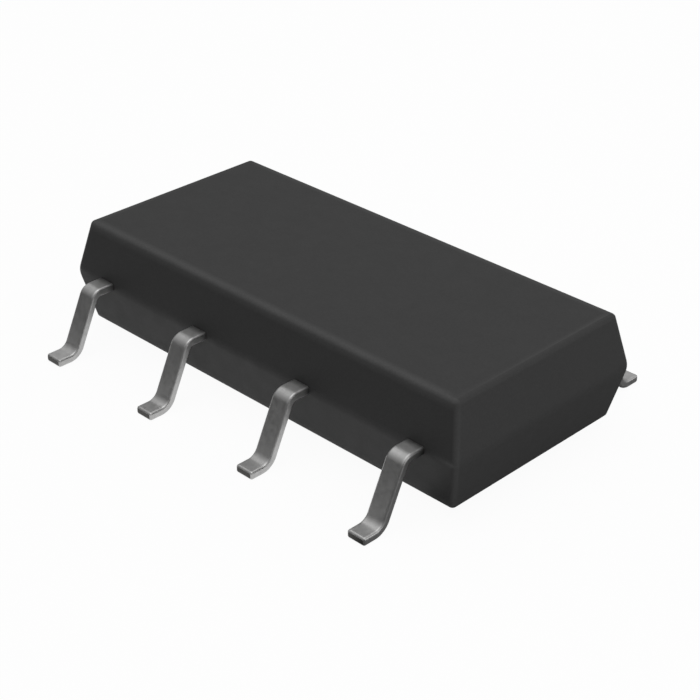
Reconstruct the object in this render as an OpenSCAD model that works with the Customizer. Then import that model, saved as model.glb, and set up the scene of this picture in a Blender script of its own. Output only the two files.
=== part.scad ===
// Two-channel solid-state relay in an eight-lead small-outline package.
// Millimetres. The leads' feet stand on z = 0, x runs along the body and y across it.
// Leads 1 to 4 are the input side at -y, and leads 5 to 8 the output side at +y,
// counted counter-clockwise from above. Channel a is at -x and channel b at +x.

/* [Body] */
// Width of the body across its long walls, at the part line
body_w = 4.38; // [4.1:0.02:5.2]
// Length of body past the centre of its outermost leads
end_margin = 0.85; // [0.65:0.01:1.5]
// Height of the body above the part line
upper_h = 1; // [0.9:0.01:1.4]
// Height of the body below the part line
lower_h = 0.99; // [0.6:0.01:1.4]
// Gap between the board and the underside of the body
standoff = 0.16; // [0.05:0.01:0.4]
// Draft of the walls, away from the part line on both sides, in degrees
draft = 12.2; // [6:0.1:15]
// Radius of the body's edges and corners
edge_r = 0.1; // [0.05:0.01:0.18]
// Radius of the walls across the part line
part_line_r = 0.5; // [0.25:0.05:1]

/* [Leads] */
// Distance between the centres of neighbouring leads
lead_pitch = 2.54; // [2.3:0.01:3.2]
// Width of a lead
lead_w = 0.38; // [0.3:0.01:0.5]
// Thickness of the lead frame
lead_t = 0.15; // [0.1:0.01:0.2]
// Flat length of a lead between the wall and its first bend
shoulder_l = 0.26; // [0.1:0.01:0.5]
// Inner radius of the bend between shoulder and shank
shoulder_r = 0.1; // [0.05:0.01:0.2]
// Lean of the shank from upright, in degrees
shank_lean = 25; // [5:1:35]
// Inner radius of the bend between shank and foot
foot_r = 0.2; // [0.05:0.01:0.3]
// Flat length of the foot past its bend
foot_l = 0.26; // [0.15:0.01:0.6]

/* [Lead frame inside the body] */
// Gap that isolates the input half of the frame from the output half
isolation_gap = 0.7; // [0.5:0.05:0.9]
// Gap between the two input pads of a channel
pad_gap = 0.27; // [0.15:0.01:0.4]
// Rim of pad left free around a chip
pad_margin = 0.1; // [0.05:0.01:0.15]
// Distance from the long wall to the output pads
pad_inset = 0.45; // [0.3:0.05:0.6]

/* [Chips] */
// Side of the light-emitting diode chip
led_size = 0.3; // [0.2:0.01:0.4]
// Thickness of the light-emitting diode chip
led_h = 0.15; // [0.1:0.01:0.22]
// Side of the photodiode array chip
array_size = 0.6; // [0.45:0.01:0.7]
// Thickness of the photodiode array chip
array_h = 0.2; // [0.1:0.01:0.24]
// Side of an output transistor chip
mosfet_size = 0.6; // [0.45:0.01:0.7]
// Thickness of an output transistor chip
mosfet_h = 0.2; // [0.1:0.01:0.24]
// Thickness of the die attach under a chip
attach_t = 0.02; // [0.01:0.005:0.04]

/* [Wires and gel] */
// Diameter of a bond wire
wire_d = 0.03; // [0.02:0.005:0.04]
// Height of a wire's loop above the line between its ends
loop_h = 0.15; // [0.1:0.01:0.2]
// Diameter of the wire between the two transistors of a channel, which carries the load
link_wire_d = 0.05; // [0.04:0.005:0.06]
// Height of that wire's loop
link_loop_h = 0.2; // [0.15:0.01:0.3]
// Width of gel outside the furthest chip corner
gel_rim = 0.25; // [0.2:0.01:0.35]
// Gel over that corner of the chip
gel_cover = 0.05; // [0.03:0.01:0.08]

/* [Hidden] */
CHANNELS = ["a", "b"];
LEADS = 8;

// Heights
part_z = standoff + lower_h;
top_z = part_z + upper_h;
frame_top = part_z + lead_t / 2;

// Body: its length, and how many flats make up a corner, an edge and half of the part line's rounding
leads_per_side = LEADS / 2;
body_l = (leads_per_side - 1) * lead_pitch + 2 * end_margin;
corner_steps = 3;
edge_steps = 3;
part_line_steps = 2;

// A lead's section, from the wall outwards: centres of its two bends and the tip of its foot
bend_steps = 16;
shoulder_centre = [body_w / 2 + shoulder_l, part_z - lead_t / 2 - shoulder_r];
shank_reach = shoulder_r + lead_t + foot_r;
shank_l = (shoulder_centre[1] + shank_reach * sin(shank_lean) - lead_t - foot_r) / cos(shank_lean);
foot_centre = shoulder_centre + shank_reach * [cos(shank_lean), sin(shank_lean)]
    + shank_l * [sin(shank_lean), -cos(shank_lean)];
tip_y = foot_centre[0] + foot_l;

// Places across the body: where both halves of the lead frame begin, and the chips and pads on them
frame_y = isolation_gap / 2;
led_y = frame_y + pad_margin + led_size / 2;
led_pad = led_size + 2 * pad_margin;
array_y = frame_y + pad_margin + array_size / 2;
array_pad = array_size + 2 * pad_margin;
mosfet_pad = mosfet_size + 2 * pad_margin;
mosfet_y = body_w / 2 - pad_inset - mosfet_pad / 2;

// Tops of the chips
led_top = frame_top + attach_t + led_h;
array_top = frame_top + attach_t + array_h;
mosfet_top = frame_top + attach_t + mosfet_h;

// Bonds: how wide and how high their balls are in wire diameters,
// and where they stand from the middle of a chip and on the anode's pad
bond_spread = 3;
bond_rise = 1.6;
array_bond = array_size / 4;
mosfet_bond = mosfet_size / 4;
anode_pad_end = led_pad / 2 + pad_gap;
anode_bond_x = anode_pad_end + pad_margin;

// Gel dome: a cap of a sphere over the diode and the array
gel_y = (array_y + array_size / 2 - led_y - led_size / 2) / 2;
gel_reach = max(norm([array_size / 2, array_y + array_size / 2 - gel_y]),
    norm([led_size / 2, led_y + led_size / 2 + gel_y]));
gel_base_r = gel_reach + gel_rim;
gel_corner_h = attach_t + max(led_h, array_h) + gel_cover;
gel_centre_h = (pow(gel_reach, 2) + pow(gel_corner_h, 2) - pow(gel_base_r, 2)) / (2 * gel_corner_h);
gel_r = norm([gel_base_r, gel_centre_h]);
gel_fn = 96;
wire_fn = 24;

// Where things are: channel c is 0 or 1, and n is 1 for the output at -x and 2 for the one at +x
function channel_x(c) = (2 * c - 1) * lead_pitch;
function output_x(n) = (n - 1.5) * lead_pitch;
function output_side(n) = 2 * n - 3;
function is_input(i) = i <= leads_per_side;
function lead_x(i) = (is_input(i) ? i - 2.5 : 6.5 - i) * lead_pitch;

// Points of an arc from angle a to angle b
function arc(centre, r, a, b) =
    [for (s = [0 : bend_steps])
        let (turn = a + (b - a) * s / bend_steps)
        centre + r * [cos(turn), sin(turn)]];

// Corners of the flats that touch an arc from angle a to angle b on its outside
function flats(centre, r, a, b, steps) =
    [for (s = [0.5 : steps - 0.5])
        let (turn = a + (b - a) * s / steps)
        centre + r / cos((b - a) / steps / 2) * [cos(turn), sin(turn)]];

// How far the centre of an edge's rounding lies inside the part line's reach, at height h from that line
function edge_inset(h) = part_line_r - (part_line_r - edge_r) * cos(draft)
    + (h - (part_line_r - edge_r) * sin(draft)) * tan(draft);

// Outline of the body as seen along the wall or corner face that is turned by this angle about z:
// its right half from the underside to the top, past both drafts and the part line
function half_outline(turn) =
    let (
        spread = abs(cos(turn)) + abs(sin(turn)),
        reach = abs(cos(turn)) * body_l / 2 + abs(sin(turn)) * body_w / 2,
        slope = atan(spread * tan(draft)),
        bottom_edge = [reach - spread * edge_inset(lower_h - edge_r), standoff + edge_r],
        top_edge = [reach - spread * edge_inset(upper_h - edge_r), top_z - edge_r],
        step = draft / part_line_steps,
        flat_r = edge_r + part_line_r * (1 / cos(step / 2) - 1)
    )
    concat(
        flats(bottom_edge, edge_r, -90, -slope, edge_steps),
        [for (s = [0.5 - part_line_steps : part_line_steps - 0.5])
            let (a = s * step, lean = atan(spread * tan(a)))
            [reach - spread * (part_line_r - (part_line_r - edge_r) * cos(a)) + flat_r * cos(lean),
                part_z + (part_line_r - edge_r) * sin(a) + flat_r * sin(lean)]],
        flats(top_edge, edge_r, slope, 90, edge_steps)
    );

// The body's outer form: drafted walls, round edges and corners and a softly rounded part line.
// It is what the prisms of all its walls and corner faces have in common.
module body_form() {
    intersection_for (s = [1 - corner_steps : corner_steps]) {
        turn = 90 * s / corner_steps;
        right = half_outline(turn);
        left = [for (i = [len(right) - 1 : -1 : 0]) [-right[i][0], right[i][1]]];
        rotate([90, 0, turn])
            linear_extrude(2 * body_l, center = true)
                polygon(concat(right, left));
    }
}

// The body moulded around everything that it holds
module moulded_body() {
    color("#2c2c2e")
        difference() {
            body_form();
            for (i = [1 : LEADS]) lead(i);
            for (c = [0, 1]) {
                gel_form(c);
                source_link(c);
                for (n = [1, 2]) {
                    mosfet_chip(c, n);
                    mosfet_attach(c, n);
                    gate_wire(c, n);
                    source_wire(c, n);
                }
            }
        }
}

// Section of a lead across the body, from y_in inside the body to the tip of its foot
module lead_section(y_in) {
    polygon(concat(
        [[y_in, frame_top]],
        arc(shoulder_centre, shoulder_r + lead_t, 90, shank_lean),
        arc(foot_centre, foot_r, 180 + shank_lean, 270),
        [[tip_y, lead_t], [tip_y, 0]],
        arc(foot_centre, foot_r + lead_t, 270, 180 + shank_lean),
        arc(shoulder_centre, shoulder_r, shank_lean, 90),
        [[y_in, frame_top - lead_t]]
    ));
}

// The strip of a lead, running towards +y from y_in
module lead_strip(y_in) {
    rotate([90, 0, 90])
        linear_extrude(lead_w, center = true)
            lead_section(y_in);
}

// A flat pad of the lead frame between two corners, in a channel's own x and y
module pad(low, high) {
    translate([low[0], low[1], frame_top - lead_t])
        cube([high[0] - low[0], high[1] - low[1], lead_t]);
}

// Anode lead: a pad for the diode's wire
module anode_lead() {
    x = -lead_pitch / 2;
    translate([x, 0, 0]) mirror([0, 1, 0]) lead_strip(frame_y + led_pad / 2);
    pad([x - lead_w / 2, -frame_y - led_pad], [-anode_pad_end, -frame_y]);
}

// Cathode lead: an arm that carries the diode in the middle of the channel
module cathode_lead() {
    x = lead_pitch / 2;
    translate([x, 0, 0]) mirror([0, 1, 0]) lead_strip(frame_y + led_pad / 2);
    pad([-led_pad / 2, -frame_y - led_pad], [x + lead_w / 2, -frame_y]);
}

// Output lead n: a pad for its transistor
module output_lead(n) {
    x = output_x(n);
    translate([x, 0, 0]) lead_strip(mosfet_y);
    pad([x - mosfet_pad / 2, mosfet_y - mosfet_pad / 2],
        [x + mosfet_pad / 2, mosfet_y + mosfet_pad / 2]);
}

// Output lead whose pad reaches to the middle of the channel, to carry the photodiode array
module array_lead() {
    output_lead(1);
    pad([output_x(1), frame_y],
        [array_pad / 2, max(frame_y + array_pad, mosfet_y - mosfet_pad / 2 + pad_margin)]);
}

// Lead i, in the order in which they are counted
module lead(i) {
    c = lead_x(i) < 0 ? 0 : 1;
    first = lead_x(i) < channel_x(c);
    color("#b4b3b0")
        translate([channel_x(c), 0, 0]) {
            if (is_input(i) && first) anode_lead();
            if (is_input(i) && !first) cathode_lead();
            if (!is_input(i) && first) array_lead();
            if (!is_input(i) && !first) output_lead(2);
        }
}

// A square plate with its centre over x and y, standing on height z
module plate(x, y, z, size, h) {
    translate([x - size / 2, y - size / 2, z]) cube([size, size, h]);
}

module led_chip(c) {
    color("#c98f5a") plate(channel_x(c), -led_y, frame_top + attach_t, led_size, led_h);
}

module led_attach(c) {
    color("#d8d6d0") plate(channel_x(c), -led_y, frame_top, led_size, attach_t);
}

module photodiode_array(c) {
    color("#4a5a78") plate(channel_x(c), array_y, frame_top + attach_t, array_size, array_h);
}

module array_attach(c) {
    color("#e6e3d8") plate(channel_x(c), array_y, frame_top, array_size, attach_t);
}

module mosfet_chip(c, n) {
    x = channel_x(c) + output_x(n);
    color("#6a6f7a") plate(x, mosfet_y, frame_top + attach_t, mosfet_size, mosfet_h);
}

module mosfet_attach(c, n) {
    x = channel_x(c) + output_x(n);
    color("#d8d6d0") plate(x, mosfet_y, frame_top, mosfet_size, attach_t);
}

// The flattened ball that joins the end of a wire of diameter d to the surface at point p
module bond(p, d) {
    translate(p) cylinder(d = bond_spread * d, h = bond_rise * d, $fn = wire_fn);
}

// A bond wire from point p to point q on two surfaces: a round loop with a ball at each end
module bond_wire(p, q, loop, d = wire_d) {
    chord = norm(q - p);
    loop_r = (pow(chord / 2, 2) + pow(loop, 2)) / (2 * loop);
    half_angle = asin(chord / 2 / loop_r);
    turn = atan2(q[1] - p[1], q[0] - p[0]);
    tilt = atan2(q[2] - p[2], norm([q[0] - p[0], q[1] - p[1]]));
    color("#d6b25e") {
        bond(p, d);
        bond(q, d);
        translate((p + q) / 2 + [0, 0, bond_rise * d / 2])
            rotate([0, 0, turn])
                rotate([0, -tilt, 0])
                    translate([0, 0, loop - loop_r])
                        rotate([90, 0, 0])
                            rotate([0, 0, 90 - half_angle])
                                rotate_extrude(angle = 2 * half_angle, $fn = gel_fn)
                                    translate([loop_r, 0]) circle(d = d, $fn = wire_fn);
    }
}

module led_wire(c) {
    x = channel_x(c);
    bond_wire([x, -led_y, led_top], [x - anode_bond_x, -led_y, frame_top], loop_h);
}

module gate_wire(c, n) {
    x = channel_x(c);
    side = output_side(n);
    bond_wire([x + side * array_bond, array_y - array_bond, array_top],
        [x + output_x(n) - side * mosfet_bond, mosfet_y - mosfet_bond, mosfet_top], loop_h);
}

module source_wire(c, n) {
    x = channel_x(c);
    side = output_side(n);
    bond_wire([x + side * array_bond, array_y + array_bond, array_top],
        [x + output_x(n) - side * mosfet_bond, mosfet_y, mosfet_top], loop_h);
}

module source_link(c) {
    x = channel_x(c);
    y = mosfet_y + mosfet_bond;
    bond_wire([x + output_x(1), y, mosfet_top], [x + output_x(2), y, mosfet_top],
        link_loop_h, link_wire_d);
}

// The whole cap of gel, before what it covers is taken out
module gel_form(c) {
    translate([channel_x(c), gel_y, frame_top])
        rotate_extrude($fn = gel_fn)
            intersection() {
                translate([0, gel_centre_h]) circle(r = gel_r, $fn = gel_fn);
                square([gel_base_r, gel_centre_h + gel_r]);
            }
}

module gel_dome(c) {
    color("#d9e4e8", 0.5)
        difference() {
            gel_form(c);
            led_chip(c);
            led_attach(c);
            led_wire(c);
            photodiode_array(c);
            array_attach(c);
            for (n = [1, 2]) {
                mosfet_chip(c, n);
                mosfet_attach(c, n);
                gate_wire(c, n);
                source_wire(c, n);
            }
        }
}

moulded_body();
for (i = [1 : LEADS])
    lead(i);
for (c = [0, 1]) {
    led_chip(c);
    led_attach(c);
    led_wire(c);
    photodiode_array(c);
    array_attach(c);
    gel_dome(c);
    source_link(c);
    for (n = [1, 2]) {
        mosfet_chip(c, n);
        mosfet_attach(c, n);
        gate_wire(c, n);
        source_wire(c, n);
    }
}
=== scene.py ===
"""Looks of a two-channel solid-state relay: a black moulded body on eight gull-wing leads."""

import math
from collections import namedtuple

import bmesh
import bpy
from mathutils import Matrix, Vector


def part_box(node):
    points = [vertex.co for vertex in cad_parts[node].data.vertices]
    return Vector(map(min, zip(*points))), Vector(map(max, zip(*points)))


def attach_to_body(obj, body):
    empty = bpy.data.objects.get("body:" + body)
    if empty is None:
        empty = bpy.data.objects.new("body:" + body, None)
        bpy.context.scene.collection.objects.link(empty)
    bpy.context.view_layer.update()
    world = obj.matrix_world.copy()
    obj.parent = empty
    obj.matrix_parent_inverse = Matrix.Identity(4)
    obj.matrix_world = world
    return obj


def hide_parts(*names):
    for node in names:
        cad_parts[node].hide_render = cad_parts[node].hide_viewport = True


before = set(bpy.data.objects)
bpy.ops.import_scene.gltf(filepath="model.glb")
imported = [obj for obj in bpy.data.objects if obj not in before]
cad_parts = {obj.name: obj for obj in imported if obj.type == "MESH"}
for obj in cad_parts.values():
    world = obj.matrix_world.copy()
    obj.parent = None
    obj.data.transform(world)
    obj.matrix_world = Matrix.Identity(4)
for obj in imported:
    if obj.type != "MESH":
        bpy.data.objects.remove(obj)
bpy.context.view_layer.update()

# Sizes are in millimetres, as in the part's source. Meshes are scaled to metres when they are done.
MM = 0.001
MERGE_BELOW = 0.00001

# Form of the moulded body
DRAFT = math.radians(12.2)
EDGE_R = 0.1
PART_LINE_R = 0.5
LOWER_H = 0.99
CORNER_STEPS = 8
EDGE_STEPS = 8
PART_LINE_STEPS = 8

# Painted highlight on the body, from 0 to 1, as a lighter colour: where an edge's rounding begins and ends,
# at the upright corners, and on the part line, with how far the painted highlight reaches
HIGHLIGHT_AT_SEAM = 0.5
HIGHLIGHT_REACH = 0.1
CORNER_HIGHLIGHT = 0.5
PART_LINE_HIGHLIGHT = 1
PART_LINE_HIGHLIGHT_REACH = 0.4

# Leads, counted along the near side and back along the far side
PER_SIDE = 4
LEAD_W = 0.38
LEAD_T = 0.15
SHOULDER_R = 0.1
FOOT_R = 0.2
FOOT_L = 0.26
SHANK_LEAN = math.radians(25)
BEND_STEPS = 14
PATH_CORNERS = ["Inner end", "Inside wall", "Shoulder corner", "Foot corner", "Tip"]
STRIP_SIZES = ["Lead width", "Lead thickness", "Shoulder radius", "Foot radius", "Round beyond"]

# Rounding of a lead's sharp edges, which begins a little inside the wall
LEAD_EDGE_R = 0.045
LEAD_EDGE_STEPS = 5
ROUNDED_FROM = 0.1
SHARP_ANGLE = math.radians(40)
ROUNDING_MARK = "bevel_weight_edge"

# Finish of a lead: how far painted shade darkens the tin outside the wall, and how deep the bare cut tip is
PAINTED_SHADE_REACH = 0.14
CUT_DEPTH = 0.005

# Pads of the lead frame inside the body
FRAME_Y = 0.35
LED_PAD = 0.5
PAD_GAP = 0.27
ARRAY_PAD = 0.8
MOSFET_PAD = 0.8
PAD_INSET = 0.45

# Faces of a pad, by its corners: four below, then four above
PAD_FACES = [(3, 2, 1, 0), (4, 5, 6, 7), (0, 1, 5, 4), (1, 2, 6, 5), (2, 3, 7, 6), (3, 0, 4, 7)]

# Most of a noise lies between these two values, and with it a chip's roughness varies by this share
NOISE_LOW = 0.3
NOISE_HIGH = 0.7
DIE_MOTTLE = 0.2

# Camera, found by laying the part's edges over the photograph
FOCAL_LENGTH = 88.134
SENSOR = 36
CAMERA_AT = Vector((18.6467, -18.8354, 15.6459))
CAMERA_RIGHT = Vector((0.712616, 0.701522, 0.006734))
CAMERA_UP = Vector((-0.353269, 0.35053, 0.86737))
NEAREST_SEEN = 1
FURTHEST_SEEN = 10000

# Floor: how much of its white the camera sees, and its paint under the lamps. In reflections it fades out
# between these places, in front of the part and under its right end, and past there this much is left.
FLOOR_REACH = 400
FLOOR_WHITE = 0.95
FLOOR_PAINT = (0.85, 0.85, 0.85, 1)
# Painted light in reflections: a pool of light round the part, and painted shade past its right end
FRONT_FADE_Y = (-3.6, -7)
END_FADE_X = (3.5, 4)
END_GLOSS = 0.12

# Light of the room, which is brightest almost overhead, and of the lamps
ROOM_BRIGHT_SIDE = (0, 0.18, 0.98)
ROOM_DARK = 0
ROOM_BRIGHT = 0.96
LAMPS = {
    # name: (place, point it faces, width, height, watts)
    "overhead_softbox": ((0, 0, 70), (0, 0, 1), 50, 50, 0.0108),
    "end_fill": ((70, 30, 12), (0, 0, 1), 80, 24, 0.0122),
}

# One ring of the body's skin: the inset and height of its rounding's centre, the tilt of its wall,
# the share of the turn from there to the flat face, how much painted highlight it gets, and more by the
# corners
Station = namedtuple("Station", "inset height tilt turn wear corner_wear", defaults=(0, 0, 0))


def box_mm(node):
    """Lowest and highest corner of a CAD node, in millimetres."""
    low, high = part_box(node)
    return low / MM, high / MM


def add_node(tree, kind, inputs=None, **settings):
    """A new node with these settings. Each input is joined to a socket or set to a value."""
    node = tree.nodes.new(kind)
    for key, value in settings.items():
        setattr(node, key, value)
    for key, value in (inputs or {}).items():
        if isinstance(value, bpy.types.NodeSocket):
            tree.links.new(value, node.inputs[key])
        else:
            node.inputs[key].default_value = value
    return node


def reckon(tree, operation, *terms):
    """The result of a math node on sockets and plain numbers."""
    return add_node(tree, "ShaderNodeMath", dict(enumerate(terms)), operation=operation).outputs["Value"]


def mapped(tree, value, start, stop, low, high, easing="LINEAR"):
    """A number that goes from low to high as value goes from start to stop."""
    inputs = {"Value": value, "From Min": start, "From Max": stop, "To Min": low, "To Max": high}
    return add_node(tree, "ShaderNodeMapRange", inputs, interpolation_type=easing).outputs["Result"]


def noise(tree, place, per_mm, detail=2):
    """Soft noise with this many lumps to the millimetre."""
    inputs = {"Vector": place, "Scale": per_mm, "Detail": detail}
    return add_node(tree, "ShaderNodeTexNoise", inputs).outputs["Fac"]


def uneven(tree, lumps, low, high):
    """A number that goes from low to high with a noise."""
    return mapped(tree, lumps, NOISE_LOW, NOISE_HIGH, low, high)


def shades(tree, lumps, dark, light):
    """A colour that goes from dark to light with a noise."""
    node = add_node(tree, "ShaderNodeValToRGB", {"Fac": lumps})
    first, last = node.color_ramp.elements
    first.position = NOISE_LOW
    first.color = (*dark, 1)
    last.position = NOISE_HIGH
    last.color = (*light, 1)
    return node.outputs["Color"]


def grey(level):
    """A neutral colour."""
    return level, level, level


def blend_colours(tree, factor, first, second):
    """A colour that goes from first to second as factor goes from 0 to 1."""
    inputs = {"Factor": factor, "A": first, "B": second}
    return add_node(tree, "ShaderNodeMix", inputs, data_type="RGBA").outputs["Result"]


def grain(tree, lumps, depth_mm):
    """A surface direction with bumps of this depth."""
    inputs = {"Height": lumps, "Strength": 1, "Distance": depth_mm * MM}
    return add_node(tree, "ShaderNodeBump", inputs).outputs["Normal"]


def node_material(name):
    """A new material, its node tree, its shader, and the piece's own coordinates in millimetres."""
    material = bpy.data.materials.new(name)
    material.use_nodes = True
    tree = material.node_tree
    place = add_node(tree, "ShaderNodeTexCoord").outputs["Object"]
    to_mm = add_node(tree, "ShaderNodeMapping", {"Vector": place, "Scale": (1 / MM, 1 / MM, 1 / MM)})
    return material, tree, tree.nodes["Principled BSDF"], to_mm.outputs["Vector"]


def surface(tree, shader, colour, roughness, bumps=None):
    """Joins a surface's colour, roughness and bumps to its shader."""
    tree.links.new(colour, shader.inputs["Base Color"])
    tree.links.new(roughness, shader.inputs["Roughness"])
    if bumps is not None:
        tree.links.new(bumps, shader.inputs["Normal"])


def epoxy_finish():
    """Black moulding compound: matt, with fine filler grain, and a painted highlight lighter along its
    edges.
    """
    material, tree, shader, place = node_material("black_epoxy")
    shader.inputs["Specular IOR Level"].default_value = 0.136
    filler = noise(tree, place, per_mm=30)
    compound = shades(tree, filler, grey(0.04), grey(0.045))
    # A lighter copy of the compound: a painted highlight along the body's edges
    highlight_colour = shades(tree, filler, grey(0.075), grey(0.085))
    wear = add_node(tree, "ShaderNodeAttribute", attribute_name="edge_highlight").outputs["Fac"]
    patchy_highlight = reckon(tree, "MULTIPLY", wear, uneven(tree, noise(tree, place, per_mm=1.5), 0.8, 1))
    colour = blend_colours(tree, patchy_highlight, compound, highlight_colour)
    roughness = uneven(tree, noise(tree, place, per_mm=3), 0.52, 0.58)
    surface(tree, shader, colour, roughness, grain(tree, noise(tree, place, per_mm=22, detail=4), 0.0006))
    return material


def tin_finish(wall_y, tip_y):
    """Satin tin plate, darkened by painted shade where a lead leaves the body, and bare dark metal at the
    cut tip.
    """
    material, tree, shader, place = node_material("satin_tin")
    shader.inputs["Metallic"].default_value = 1
    plate = shades(tree, noise(tree, place, per_mm=9), (0.43, 0.429, 0.426), (0.5, 0.498, 0.494))
    # A darker copy of the tin: painted shade where the lead leaves the body
    painted_shade = shades(tree, noise(tree, place, per_mm=20), (0.16, 0.16, 0.159), (0.2, 0.2, 0.198))
    bare = shades(tree, noise(tree, place, per_mm=40), (0.05, 0.049, 0.047), (0.08, 0.078, 0.075))
    axes = add_node(tree, "ShaderNodeSeparateXYZ", {"Vector": place})
    from_middle = reckon(tree, "ABSOLUTE", axes.outputs["Y"])
    unshaded = mapped(tree, from_middle, wall_y, wall_y + PAINTED_SHADE_REACH, 0, 1)
    cut = mapped(tree, from_middle, tip_y - CUT_DEPTH, tip_y - CUT_DEPTH / 4, 0, 1)
    colour = blend_colours(tree, cut, blend_colours(tree, unshaded, painted_shade, plate), bare)
    roughness = uneven(tree, noise(tree, place, per_mm=14), 0.42, 0.5)
    surface(tree, shader, colour, roughness, grain(tree, noise(tree, place, per_mm=28, detail=3), 0.0003))
    return material


def die_finish(name, dark, light, roughness, metallic=0):
    """Finish of a piece inside the body, mottled between two colours."""
    material, tree, shader, place = node_material(name)
    shader.inputs["Metallic"].default_value = metallic
    colour = shades(tree, noise(tree, place, per_mm=25), dark, light)
    spread = DIE_MOTTLE * roughness
    mottle = uneven(tree, noise(tree, place, per_mm=18), roughness - spread, roughness + spread)
    surface(tree, shader, colour, mottle, grain(tree, noise(tree, place, per_mm=60), 0.0005))
    return material


def gel_finish():
    """Clear silicone gel, faintly cloudy."""
    material, tree, shader, place = node_material("dome_gel")
    shader.inputs["Transmission Weight"].default_value = 0.9
    shader.inputs["IOR"].default_value = 1.41
    colour = shades(tree, noise(tree, place, per_mm=2), (0.82, 0.86, 0.88), (0.9, 0.93, 0.94))
    surface(tree, shader, colour, uneven(tree, noise(tree, place, per_mm=4), 0.06, 0.12))
    return material


def add_piece(name, mesh, node):
    """Puts a mesh made in millimetres into the scene, on the root body, in place of this CAD node."""
    mesh.transform(Matrix.Scale(MM, 4))
    mesh.name = name
    piece = bpy.data.objects.new(name, mesh)
    bpy.context.scene.collection.objects.link(piece)
    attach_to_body(piece, "root")
    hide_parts(node)


def edge_inset(height):
    """How far the edge rounding's centre lies inside the part line's reach, at this height from it."""
    core_r = PART_LINE_R - EDGE_R
    drafted = height - core_r * math.sin(DRAFT)
    return PART_LINE_R - core_r * math.cos(DRAFT) + drafted * math.tan(DRAFT)


def half_stations(side, part_z, height):
    """Rings of the upper half, side 1, or the lower one, side -1, from its wall to its flat face. The
    centre of its edge's rounding lies at this height from the part line."""
    tilt = side * DRAFT
    inset = edge_inset(height)
    edge_z = part_z + side * height
    wall_height = height - HIGHLIGHT_REACH
    stations = [Station(edge_inset(wall_height), part_z + side * wall_height, tilt)]
    for step in range(EDGE_STEPS + 1):
        turn = step / EDGE_STEPS
        wear = HIGHLIGHT_AT_SEAM + (1 - HIGHLIGHT_AT_SEAM) * math.sin(math.pi * turn)
        stations.append(Station(inset, edge_z, tilt, turn, wear))
    stations.append(Station(inset + HIGHLIGHT_REACH, edge_z, tilt, turn=1))
    return stations


def part_line_stations(part_z):
    """Rings of the soft part line, with a painted highlight near the corners."""
    core_r = PART_LINE_R - EDGE_R
    stations = []
    for step in range(-PART_LINE_STEPS, PART_LINE_STEPS + 1):
        share = step / PART_LINE_STEPS
        tilt = DRAFT * share
        inset = PART_LINE_R - core_r * math.cos(tilt)
        wear = PART_LINE_HIGHLIGHT * (1 - abs(share)) ** 2
        stations.append(Station(inset, part_z + core_r * math.sin(tilt), tilt, corner_wear=wear))
    return stations


def corner_places(corner):
    """Points of a body corner, each as the share of its turn and the way back along the long wall."""
    places = [(step / CORNER_STEPS, 0) for step in range(CORNER_STEPS + 1)]
    if corner % 2 == 0:
        return places + [(1, PART_LINE_HIGHLIGHT_REACH)]
    return [(0, PART_LINE_HIGHLIGHT_REACH)] + places


def facing(station, angle):
    """Which way a ring of the skin faces at this angle round the body."""
    spread = abs(math.cos(angle)) + abs(math.sin(angle))
    rise = math.atan(spread * math.tan(station.tilt))
    rise += station.turn * (math.copysign(math.pi / 2, station.tilt) - rise)
    level = math.cos(rise)
    return Vector((level * math.cos(angle), level * math.sin(angle), math.sin(rise)))


def highlight_share(station, angle, share, back):
    """How much painted highlight a point of a ring gets: along the edges of the long walls, or down the
    corners.
    """
    near_corner = 1 - back / PART_LINE_HIGHLIGHT_REACH
    on_long_wall = abs(math.sin(angle)) * (station.wear + station.corner_wear * near_corner)
    at_corner = CORNER_HIGHLIGHT * math.sin(math.pi * share) * (1 - station.turn)
    return max(on_long_wall, at_corner)


def ring(half_l, half_w, station):
    """Points once round the body, each with its normal and its share of painted highlight."""
    places = []
    for corner, (side_x, side_y) in enumerate([(1, 1), (-1, 1), (-1, -1), (1, -1)]):
        for share, back in corner_places(corner):
            angle = math.pi / 2 * (corner + share)
            normal = facing(station, angle)
            x = side_x * (half_l - station.inset - back)
            y = side_y * (half_w - station.inset)
            point = Vector((x, y, station.height)) + EDGE_R * normal
            places.append((point, normal, highlight_share(station, angle, share, back)))
    return places


def merge_points(mesh):
    """Joins a mesh's points that lie in one place, and drops the faces that this closes up."""
    work = bmesh.new()
    work.from_mesh(mesh)
    bmesh.ops.remove_doubles(work, verts=work.verts, dist=MERGE_BELOW)
    work.to_mesh(mesh)
    work.free()


def body_mesh(low, high):
    """The moulded body's skin: drafted walls, round edges and corners, and a soft part line."""
    part_z = low.z + LOWER_H
    stations = half_stations(-1, part_z, LOWER_H - EDGE_R)[::-1]
    stations += part_line_stations(part_z)
    stations += half_stations(1, part_z, high.z - part_z - EDGE_R)
    skin = [place for station in stations for place in ring(high.x, high.y, station)]
    points, normals, highlights = zip(*skin)

    around = len(skin) // len(stations)
    last = len(skin) - around
    faces = []
    for base in range(0, last, around):
        for i in range(around):
            j = (i + 1) % around
            faces.append((base + i, base + j, base + around + j, base + around + i))
    top = range(last, last + around)
    underside = range(around - 1, -1, -1)
    faces += [top, underside]

    mesh = bpy.data.meshes.new("epoxy_body")
    mesh.from_pydata(points, [], faces)
    # Each point keeps its share of the painted highlight, which the body's material reads
    mesh.attributes.new("edge_highlight", "FLOAT", "POINT").data.foreach_set("value", highlights)
    directions = mesh.attributes.new("facing", "FLOAT_VECTOR", "POINT")
    directions.data.foreach_set("vector", [part for normal in normals for part in normal])
    merge_points(mesh)
    mesh.shade_smooth()
    mesh.normals_split_custom_set_from_vertices([point.vector for point in mesh.attributes["facing"].data])
    mesh.attributes.remove(mesh.attributes["facing"])
    return mesh


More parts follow.
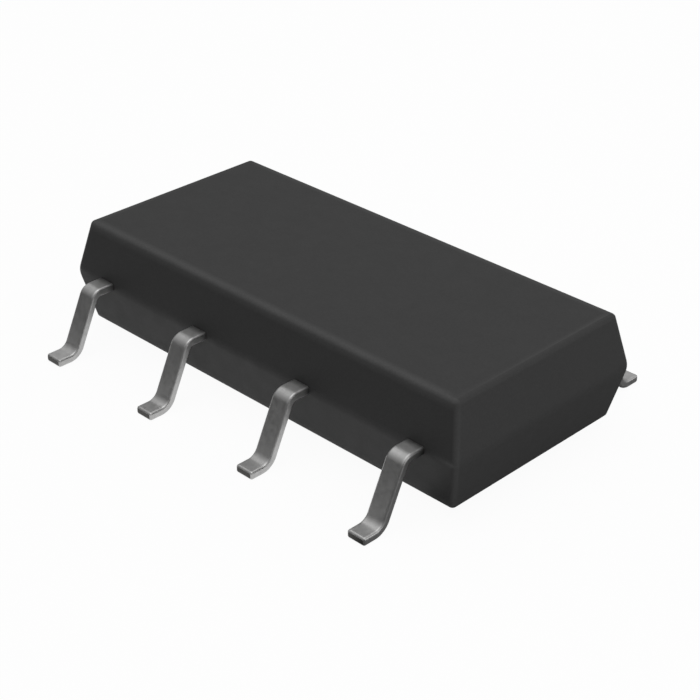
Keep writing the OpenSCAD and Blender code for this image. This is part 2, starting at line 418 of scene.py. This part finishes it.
def add_body(low, high):
    """The moulded body, between the corners of its CAD box."""
    mesh = body_mesh(low, high)
    mesh.materials.append(epoxy_finish())
    add_piece("epoxy_body", mesh, "moulded_body")


def by_corner(tree, kind, values):
    """Nodes that give each corner of a path its own value, where it has one."""
    node = add_node(tree, "GeometryNodeIndexSwitch", data_type=kind)
    while len(node.index_switch_items) < len(values):
        node.index_switch_items.new()
    number = add_node(tree, "GeometryNodeInputIndex").outputs["Index"]
    tree.links.new(number, node.inputs["Index"])
    for socket, value in zip(list(node.inputs)[1:], values):
        if value is not None:
            tree.links.new(value, socket)
    return node.outputs[0]


def bent_strip(tree, sizes):
    """Nodes that sweep a lead's flat section along its path, bent round at its shoulder and foot."""
    radii = [None, None, sizes["Shoulder radius"], sizes["Foot radius"], None]
    line = add_node(tree, "GeometryNodeCurvePrimitiveLine")
    path = add_node(tree, "GeometryNodeResampleCurve", {
        "Curve": line.outputs["Curve"],
        "Count": len(PATH_CORNERS),
    })
    laid = add_node(tree, "GeometryNodeSetPosition", {
        "Geometry": path.outputs["Curve"],
        "Position": by_corner(tree, "VECTOR", [sizes[name] for name in PATH_CORNERS]),
    })
    bent = add_node(tree, "GeometryNodeFilletCurve", {
        "Curve": laid.outputs["Geometry"],
        "Count": sizes["Bend steps"],
        "Radius": by_corner(tree, "FLOAT", radii),
    }, mode="POLY")
    upright = add_node(tree, "GeometryNodeSetCurveNormal", {"Curve": bent.outputs["Curve"]}, mode="Z_UP")
    section = add_node(tree, "GeometryNodeCurvePrimitiveQuadrilateral", {
        "Width": sizes["Lead width"],
        "Height": sizes["Lead thickness"],
    }, mode="RECTANGLE")
    strip = add_node(tree, "GeometryNodeCurveToMesh", {
        "Curve": upright.outputs["Curve"],
        "Profile Curve": section.outputs["Curve"],
        "Fill Caps": True,
    })
    return strip.outputs["Mesh"]


def exceeds(tree, value, limit):
    """Whether a value is over a limit."""
    inputs = {"A": value, "B": limit}
    return add_node(tree, "FunctionNodeCompare", inputs, operation="GREATER_THAN").outputs["Result"]


def marked_edges(tree, geometry, beyond):
    """Nodes that mark for rounding the sharp edges that lie further than this from the body's middle."""
    position = add_node(tree, "GeometryNodeInputPosition").outputs["Position"]
    axes = add_node(tree, "ShaderNodeSeparateXYZ", {"Vector": position})
    from_middle = reckon(tree, "ABSOLUTE", axes.outputs["Y"])
    angle = add_node(tree, "GeometryNodeInputMeshEdgeAngle").outputs["Unsigned Angle"]
    both = add_node(tree, "FunctionNodeBooleanMath", {
        0: exceeds(tree, from_middle, beyond),
        1: exceeds(tree, angle, SHARP_ANGLE),
    }, operation="AND")
    marked = add_node(tree, "GeometryNodeStoreNamedAttribute", {
        "Geometry": geometry,
        "Name": ROUNDING_MARK,
        "Value": both.outputs["Boolean"],
    }, data_type="FLOAT", domain="EDGE")
    return marked.outputs["Geometry"]


def lead_nodes(tin):
    """Geometry Nodes that join a lead's bent strip to the pads that come in as the mesh."""
    tree = bpy.data.node_groups.new("gull_wing_lead", "GeometryNodeTree")
    sockets = {"Geometry": "NodeSocketGeometry"}
    sockets.update(dict.fromkeys(PATH_CORNERS, "NodeSocketVector"))
    sockets.update(dict.fromkeys(STRIP_SIZES, "NodeSocketFloat"))
    sockets["Bend steps"] = "NodeSocketInt"
    for name, kind in sockets.items():
        tree.interface.new_socket(name, in_out="INPUT", socket_type=kind)
    tree.interface.new_socket("Geometry", in_out="OUTPUT", socket_type="NodeSocketGeometry")

    sizes = add_node(tree, "NodeGroupInput").outputs
    joined = add_node(tree, "GeometryNodeMeshBoolean", operation="UNION", solver="EXACT")
    for mesh in (sizes["Geometry"], bent_strip(tree, sizes)):
        tree.links.new(mesh, joined.inputs["Mesh 2"])
    merged = add_node(tree, "GeometryNodeMergeByDistance", {
        "Geometry": joined.outputs["Mesh"],
        "Distance": MERGE_BELOW,
    })
    marked = marked_edges(tree, merged.outputs["Geometry"], sizes["Round beyond"])
    real = add_node(tree, "GeometryNodeRealizeInstances", {"Geometry": marked})
    plated = add_node(tree, "GeometryNodeSetMaterial", {
        "Geometry": real.outputs["Geometry"],
        "Material": tin,
    })
    add_node(tree, "NodeGroupOutput", {"Geometry": plated.outputs["Geometry"]})
    return tree


def set_sizes(modifier, values):
    """Sets a Geometry Nodes modifier's named inputs by their sockets' identifiers."""
    for item in modifier.node_group.interface.items_tree:
        if item.in_out == "INPUT" and item.name in values:
            modifier[item.identifier] = values[item.name]


def lead_place(number):
    """x of a lead, and of the middle of its channel."""
    first_low, _ = box_mm("lead_1")
    _, last_high = box_mm(f"lead_{PER_SIDE}")
    pitch = (last_high.x - first_low.x - LEAD_W) / (PER_SIDE - 1)
    middle = (PER_SIDE + 1) / 2
    x = pitch * (number - middle if number <= PER_SIDE else PER_SIDE + middle - number)
    return x, math.copysign(pitch, x)


def input_pads(x, channel_x):
    """Where an input lead's strip begins, and its pad: beside the diode, or under it."""
    near_y = -FRAME_Y - LED_PAD
    diode_x = channel_x - LED_PAD / 2
    if x < channel_x:
        pad = ((x - LEAD_W / 2, near_y), (diode_x - PAD_GAP, -FRAME_Y))
    else:
        pad = ((diode_x, near_y), (x + LEAD_W / 2, -FRAME_Y))
    return FRAME_Y + LED_PAD / 2, [pad]


def output_pads(x, channel_x, wall_y):
    """Where an output lead's strip begins, and its pads: under a transistor, and maybe under the array."""
    half = MOSFET_PAD / 2
    mosfet_y = wall_y - PAD_INSET - half
    pads = [((x - half, mosfet_y - half), (x + half, mosfet_y + half))]
    if x < channel_x:
        pads.append(((x, FRAME_Y), (channel_x + ARRAY_PAD / 2, FRAME_Y + ARRAY_PAD)))
    return mosfet_y, pads


def pad_mesh(pads, bottom, top):
    """Flat pads, each between two corners, as one mesh."""
    points = []
    faces = []
    for (left, near), (right, far) in pads:
        base = len(points)
        for z in (bottom, top):
            points += [(left, near, z), (right, near, z), (right, far, z), (left, far, z)]
        faces += [[base + i for i in face] for face in PAD_FACES]
    mesh = bpy.data.meshes.new("lead_pads")
    mesh.from_pydata(points, [], faces)
    return mesh


def lead_mesh(number, nodes, wall_y, frame_z):
    """One formed lead with its pads."""
    low, high = box_mm(f"lead_{number}")
    tip_y = max(high.y, -low.y)
    x, channel_x = lead_place(number)
    if number <= PER_SIDE:
        outward = -1
        inner_y, pads = input_pads(x, channel_x)
    else:
        outward = 1
        inner_y, pads = output_pads(x, channel_x, wall_y)
    mesh = pad_mesh(pads, frame_z - LEAD_T / 2, frame_z + LEAD_T / 2)
    maker = bpy.data.objects.new("lead_maker", mesh)
    bpy.context.scene.collection.objects.link(maker)

    foot_r = FOOT_R + LEAD_T / 2
    foot_y = tip_y - FOOT_L - foot_r * math.tan((math.pi / 2 - SHANK_LEAN) / 2)
    shoulder_y = foot_y - (frame_z - LEAD_T / 2) * math.tan(SHANK_LEAN)
    strip = maker.modifiers.new("strip", "NODES")
    strip.node_group = nodes
    set_sizes(strip, {
        "Inner end": (x, outward * inner_y, frame_z),
        "Inside wall": (x, outward * (wall_y - ROUNDED_FROM), frame_z),
        "Shoulder corner": (x, outward * shoulder_y, frame_z),
        "Foot corner": (x, outward * foot_y, LEAD_T / 2),
        "Tip": (x, outward * tip_y, LEAD_T / 2),
        "Lead width": LEAD_W,
        "Lead thickness": LEAD_T,
        "Shoulder radius": SHOULDER_R + LEAD_T / 2,
        "Foot radius": foot_r,
        "Round beyond": wall_y - ROUNDED_FROM,
        "Bend steps": BEND_STEPS,
    })
    edges = maker.modifiers.new("edges", "BEVEL")
    edges.width = LEAD_EDGE_R
    edges.segments = LEAD_EDGE_STEPS
    edges.limit_method = "WEIGHT"
    edges.harden_normals = True
    edges.use_clamp_overlap = False
    formed = maker.evaluated_get(bpy.context.evaluated_depsgraph_get())
    finished = bpy.data.meshes.new_from_object(formed)
    bpy.data.objects.remove(maker)
    bpy.data.meshes.remove(mesh)
    finished.attributes.remove(finished.attributes[ROUNDING_MARK])
    return finished


def add_leads(wall_y, frame_z):
    """The eight formed leads, which leave the body at wall_y, with the lead frame's middle at frame_z."""
    lead_low, _ = box_mm("lead_1")
    nodes = lead_nodes(tin_finish(wall_y, -lead_low.y))
    for number in range(1, 2 * PER_SIDE + 1):
        mesh = lead_mesh(number, nodes, wall_y, frame_z)
        add_piece(f"gull_wing_{number}", mesh, f"lead_{number}")


def finish_inner_pieces():
    """Gives the chips, attach layers, wires and gel inside the body their finishes, by kind of piece."""
    attach = die_finish("silver_attach", (0.5, 0.49, 0.46), (0.66, 0.65, 0.61), 0.5, metallic=0.6)
    gold = die_finish("bond_gold", (0.8, 0.58, 0.22), (0.9, 0.68, 0.3), 0.2, metallic=1)
    finishes = {
        "led_chip": die_finish("diode_die", (0.45, 0.2, 0.08), (0.62, 0.32, 0.14), 0.25),
        "led_attach": attach,
        "led_wire": gold,
        "photodiode_array": die_finish("array_silicon", (0.05, 0.06, 0.11), (0.08, 0.1, 0.17), 0.2),
        "array_attach": attach,
        "gel_dome": gel_finish(),
        "mosfet": die_finish("transistor_silicon", (0.11, 0.12, 0.14), (0.16, 0.17, 0.2), 0.2),
        "mosfet_attach": attach,
        "gate_wire": gold,
        "source_wire": gold,
        "source_link": gold,
    }
    for name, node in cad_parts.items():
        kind, _, _ = name.rpartition("_")
        if kind in finishes:
            node.material_slots[0].material = finishes[kind]


def fade(tree, distance, light, dark, least):
    """A number that goes smoothly from 1 where the distance is light to least where it is dark."""
    return mapped(tree, distance, dark * MM, light * MM, least, 1, easing="SMOOTHSTEP")


def mix_shaders(tree, factor, first, second):
    """A shader that goes from first to second as factor goes from 0 to 1."""
    return add_node(tree, "ShaderNodeMixShader", {0: factor, 1: first, 2: second}).outputs["Shader"]


def floor_finish():
    """White paint that keeps the shadow and can be looked through from below. Reflections show it light
    round the part, but dark further in front and from the part's right end on."""
    material = bpy.data.materials.new("white_floor")
    material.use_nodes = True
    tree = material.node_tree
    tree.nodes.clear()
    rays = add_node(tree, "ShaderNodeLightPath").outputs
    seen = reckon(tree, "MAXIMUM", rays["Is Camera Ray"], rays["Is Transmission Ray"])
    share = reckon(tree, "MULTIPLY_ADD", seen, FLOOR_WHITE, rays["Is Glossy Ray"])
    place = add_node(tree, "ShaderNodeTexCoord").outputs["Object"]
    axes = add_node(tree, "ShaderNodeSeparateXYZ", {"Vector": place}).outputs
    # Painted light for glossy rays: a pool of light round the part, and painted shade from its right end on
    front = fade(tree, axes["Y"], *FRONT_FADE_Y, 0)
    end = fade(tree, axes["X"], *END_FADE_X, END_GLOSS)
    shortfall = reckon(tree, "MULTIPLY_ADD", front, end, -1)
    strength = reckon(tree, "MULTIPLY_ADD", rays["Is Glossy Ray"], shortfall, 1)
    white = add_node(tree, "ShaderNodeEmission", {"Strength": strength}).outputs["Emission"]
    paint = add_node(tree, "ShaderNodeBsdfDiffuse", {"Color": FLOOR_PAINT}).outputs["BSDF"]
    lit = mix_shaders(tree, share, paint, white)
    clear = add_node(tree, "ShaderNodeBsdfTransparent").outputs["BSDF"]
    from_below = add_node(tree, "ShaderNodeNewGeometry").outputs["Backfacing"]
    one_way = mix_shaders(tree, from_below, lit, clear)
    add_node(tree, "ShaderNodeOutputMaterial", {"Surface": one_way})
    return material


def add_floor():
    """A wide flat floor under the feet."""
    reach = FLOOR_REACH * MM
    corners = [(-reach, -reach, 0), (reach, -reach, 0), (reach, reach, 0), (-reach, reach, 0)]
    mesh = bpy.data.meshes.new("floor")
    mesh.from_pydata(corners, [], [(0, 1, 2, 3)])
    mesh.materials.append(floor_finish())
    floor = bpy.data.objects.new("floor", mesh)
    bpy.context.scene.collection.objects.link(floor)


def add_lamps():
    """Plain soft studio light."""
    for name, (place, target, width, height, watts) in LAMPS.items():
        lamp = bpy.data.lights.new(name, "AREA")
        lamp.shape = "RECTANGLE"
        lamp.size = width * MM
        lamp.size_y = height * MM
        lamp.energy = watts
        holder = bpy.data.objects.new(name, lamp)
        holder.location = Vector(place) * MM
        holder.rotation_euler = (Vector(target) - Vector(place)).to_track_quat("-Z", "Y").to_euler()
        bpy.context.scene.collection.objects.link(holder)


def add_room():
    """A room that is bright overhead and dark round the horizon."""
    world = bpy.data.worlds.new("studio_room")
    world.use_nodes = True
    tree = world.node_tree
    background = tree.nodes["Background"]
    background.inputs["Color"].default_value = (1, 1, 1, 1)
    direction = add_node(tree, "ShaderNodeTexCoord").outputs["Generated"]
    towards = add_node(tree, "ShaderNodeVectorMath", {
        0: direction,
        1: Vector(ROOM_BRIGHT_SIDE).normalized(),
    }, operation="DOT_PRODUCT")
    level = mapped(tree, towards.outputs["Value"], 0, 1, ROOM_DARK, ROOM_BRIGHT)
    tree.links.new(level, background.inputs["Strength"])
    bpy.context.scene.world = world


def add_camera():
    """A camera where the photograph was taken from."""
    lens = bpy.data.cameras.new("camera")
    lens.lens = FOCAL_LENGTH
    lens.sensor_width = SENSOR
    lens.clip_start = NEAREST_SEEN * MM
    lens.clip_end = FURTHEST_SEEN * MM
    camera = bpy.data.objects.new("camera", lens)
    back = CAMERA_RIGHT.cross(CAMERA_UP)
    turn = Matrix((CAMERA_RIGHT, CAMERA_UP, back)).transposed()
    camera.matrix_world = Matrix.Translation(CAMERA_AT * MM) @ turn.to_4x4()
    bpy.context.scene.collection.objects.link(camera)
    bpy.context.scene.camera = camera


body_low, body_high = box_mm("moulded_body")
add_body(body_low, body_high)
add_leads(body_high.y, body_low.z + LOWER_H)
finish_inner_pieces()
add_floor()
add_lamps()
add_room()
add_camera()
bpy.context.scene.view_settings.view_transform = "Standard"
